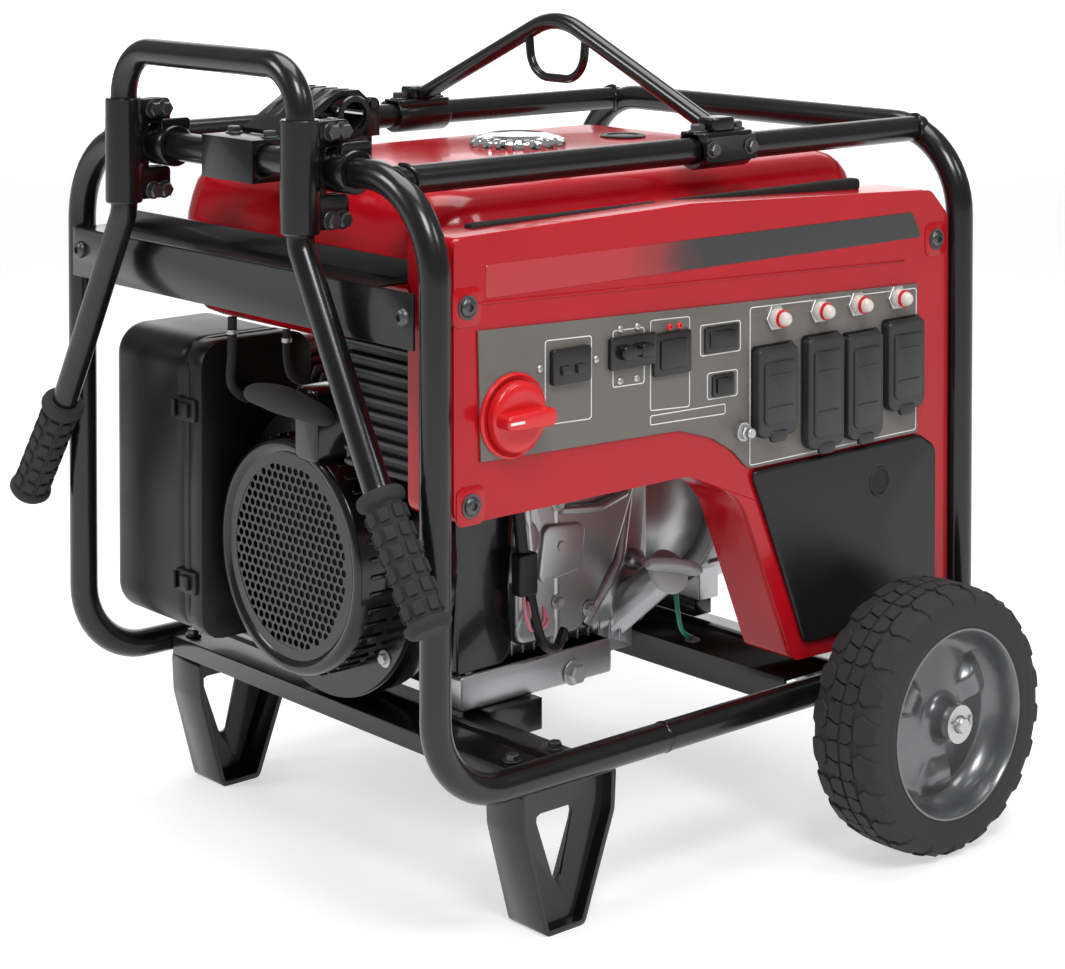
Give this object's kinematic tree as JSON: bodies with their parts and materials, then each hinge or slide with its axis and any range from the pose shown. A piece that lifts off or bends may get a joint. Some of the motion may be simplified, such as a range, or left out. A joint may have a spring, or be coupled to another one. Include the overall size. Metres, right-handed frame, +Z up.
{
  "type": "portable generator",
  "caption": "Portable engine generator in a tube frame with two wheels, feet, a fold-down handle, a lifting bail and a side control panel.",
  "frame": {"origin": "on the ground under the middle of the outer box", "axes": "+Z up, +X towards the wheel end, -Y the control panel side"},
  "size_m": [0.7508, 0.7912, 0.7869],
  "materials": {
    "frame_paint": "semi-gloss black paint on steel tube and plate",
    "red_paint": "glossy red enamel",
    "black_housing": "gloss black enamel on pressed steel",
    "grey_plate": "grey-brown printed plastic with thin pale outlines",
    "black_plastic": "black moulded plastic, fine grain",
    "switch_plastic": "black switch plastic",
    "cover_plastic": "dark grey flexible socket cover",
    "red_knob": "red moulded knob",
    "clear_boot": "translucent weather boot over a push button",
    "tyre_rubber": "black tyre with directional blocks",
    "grip_rubber": "black moulded grip rubber",
    "hose_rubber": "black rubber",
    "grey_rim": "metallic grey enamel on a pressed steel rim",
    "cast_alloy": "die-cast aluminium",
    "zinc_steel": "zinc plated steel",
    "chrome_cap": "bright chrome",
    "grey_cap": "grey moulded cap"
  },
  "bodies": {
    "generator": {"frame_front_loop": "frame_paint", "frame_rear_loop": "frame_paint", "top_rail_panel_side": "frame_paint", "top_rail_back_side": "frame_paint", "front_crossmember": "frame_paint", "rear_crossmember": "frame_paint", "foot_panel_side": "frame_paint", "foot_back_side": "frame_paint", "tank_guard": "frame_paint", "latch_base": "frame_paint", "lifting_bail": "frame_paint", "axle": "zinc_steel", "fuel_tank": "red_paint", "vent_hose_tank": "hose_rubber", "vent_hose_carburettor": "hose_rubber", "crankcase": "cast_alloy", "cylinder_head": "cast_alloy", "air_cleaner_base": "black_plastic", "air_cleaner_cover": "black_plastic", "fan_housing": "black_housing", "recoil_cover": "black_housing", "alternator_housing": "cast_alloy", "alternator_end_cover": "cast_alloy", "muffler": "zinc_steel", "engine_mount_panel_side": "hose_rubber", "engine_mount_back_side": "hose_rubber", "engine_mount_rear": "hose_rubber", "panel_shroud": "red_paint", "control_plate": "grey_plate", "lower_cover": "black_plastic", "control_box": "black_plastic"},
    "handle": {"handle_tube": "frame_paint", "grip_panel_side": "grip_rubber", "grip_back_side": "grip_rubber", "handle_sleeve_panel_side": "frame_paint", "handle_sleeve_back_side": "frame_paint"},
    "latch": {"latch_hood": "frame_paint"},
    "wheel_panel_side": {"tyre_panel_side": "tyre_rubber", "rim_panel_side": "grey_rim"},
    "wheel_back_side": {"tyre_back_side": "tyre_rubber", "rim_back_side": "grey_rim"},
    "crank": {"crankshaft_rotor": "zinc_steel", "flywheel": "cast_alloy"},
    "fuel_cap": {"fuel_cap": "chrome_cap"},
    "oil_cap": {"oil_filler_cap": "grey_cap"},
    "starter_grip": {"recoil_grip": "grip_rubber"},
    "engine_switch": {"engine_switch": "red_knob"},
    "breaker": {"breaker_lever": "switch_plastic"},
    "gfci_reset": {"gfci_reset_button": "switch_plastic"},
    "gfci_test": {"gfci_test_button": "switch_plastic"},
    "voltage_selector": {"voltage_selector": "switch_plastic"},
    "throttle": {"throttle_rocker": "switch_plastic"},
    "socket_flap_1": {"receptacle_cover_1": "cover_plastic"},
    "socket_flap_2": {"receptacle_cover_2": "cover_plastic"},
    "socket_flap_3": {"receptacle_cover_3": "cover_plastic"},
    "socket_flap_4": {"receptacle_cover_4": "cover_plastic"},
    "protector_1": {"protector_button_1": "clear_boot"},
    "protector_2": {"protector_button_2": "clear_boot"},
    "protector_3": {"protector_button_3": "clear_boot"},
    "protector_4": {"protector_button_4": "clear_boot"}
  },
  "joints": [
    {"name": "handle_fold", "type": "hinge", "parent": "generator", "child": "handle", "pos_m": [-0.31621, 0, 0.6714], "axis": [0, 1, 0], "range_deg": [0, 92.8]},
    {"name": "latch_turn", "type": "hinge", "parent": "generator", "child": "latch", "pos_m": [-0.19971, 0, 0.714], "axis": [0, 1, 0], "range_deg": [0, 140]},
    {"name": "wheel_spin_panel_side", "type": "hinge", "parent": "generator", "child": "wheel_panel_side", "pos_m": [0.22729, -0.3516, 0.127], "axis": [0, 1, 0], "continuous": true},
    {"name": "wheel_spin_back_side", "type": "hinge", "parent": "generator", "child": "wheel_back_side", "pos_m": [0.22729, 0.3516, 0.127], "axis": [0, 1, 0], "continuous": true},
    {"name": "crank_spin", "type": "hinge", "parent": "generator", "child": "crank", "pos_m": [0.02279, 0, 0.295], "axis": [1, 0, 0], "continuous": true},
    {"name": "fuel_cap_turn", "type": "hinge", "parent": "generator", "child": "fuel_cap", "pos_m": [0.05579, 0.047, 0.653], "axis": [0, 0, 1], "range_deg": [0, 90]},
    {"name": "oil_cap_turn", "type": "hinge", "parent": "generator", "child": "oil_cap", "pos_m": [0.06279, -0.1622, 0.2524], "axis": [0, -0.8, 0.6], "range_deg": [0, 360]},
    {"name": "starter_pull", "type": "slide", "parent": "generator", "child": "starter_grip", "axis": [-1, 0, 0], "range_m": [0, 0.7], "stiffness_N_per_m": 30},
    {"name": "engine_switch_turn", "type": "hinge", "parent": "generator", "child": "engine_switch", "pos_m": [-0.23221, -0.29, 0.466], "axis": [0, 1, 0], "range_deg": [0, 90]},
    {"name": "breaker_flip", "type": "hinge", "parent": "generator", "child": "breaker", "pos_m": [-0.09321, -0.2773, 0.505], "axis": [1, 0, 0], "range_deg": [0, 14]},
    {"name": "gfci_reset_press", "type": "slide", "parent": "generator", "child": "gfci_reset", "axis": [0, 1, 0], "range_m": [0, 0.003], "stiffness_N_per_m": 400},
    {"name": "gfci_test_press", "type": "slide", "parent": "generator", "child": "gfci_test", "axis": [0, 1, 0], "range_m": [0, 0.003], "stiffness_N_per_m": 400},
    {"name": "voltage_selector_rock", "type": "hinge", "parent": "generator", "child": "voltage_selector", "pos_m": [0.02079, -0.2778, 0.502], "axis": [0, 0, 1], "range_deg": [0, 14]},
    {"name": "throttle_rock", "type": "hinge", "parent": "generator", "child": "throttle", "pos_m": [0.02279, -0.2778, 0.459], "axis": [0, 0, 1], "range_deg": [0, 14]},
    {"name": "socket_flap_1_lift", "type": "hinge", "parent": "generator", "child": "socket_flap_1", "pos_m": [0.08879, -0.2846, 0.484], "axis": [-1, 0, 0], "range_deg": [0, 95]},
    {"name": "socket_flap_2_lift", "type": "hinge", "parent": "generator", "child": "socket_flap_2", "pos_m": [0.15479, -0.2846, 0.486], "axis": [-1, 0, 0], "range_deg": [0, 95]},
    {"name": "socket_flap_3_lift", "type": "hinge", "parent": "generator", "child": "socket_flap_3", "pos_m": [0.21079, -0.2846, 0.482], "axis": [-1, 0, 0], "range_deg": [0, 95]},
    {"name": "socket_flap_4_lift", "type": "hinge", "parent": "generator", "child": "socket_flap_4", "pos_m": [0.27079, -0.2846, 0.488], "axis": [-1, 0, 0], "range_deg": [0, 95]},
    {"name": "protector_1_press", "type": "slide", "parent": "generator", "child": "protector_1", "axis": [0, 1, 0], "range_m": [0, 0.002], "stiffness_N_per_m": 500},
    {"name": "protector_2_press", "type": "slide", "parent": "generator", "child": "protector_2", "axis": [0, 1, 0], "range_m": [0, 0.002], "stiffness_N_per_m": 500},
    {"name": "protector_3_press", "type": "slide", "parent": "generator", "child": "protector_3", "axis": [0, 1, 0], "range_m": [0, 0.002], "stiffness_N_per_m": 500},
    {"name": "protector_4_press", "type": "slide", "parent": "generator", "child": "protector_4", "axis": [0, 1, 0], "range_m": [0, 0.002], "stiffness_N_per_m": 500}
  ],
  "couplings": [
    {"joint": "latch_turn", "follows": "handle_fold", "ratio": 1.5}
  ]
}
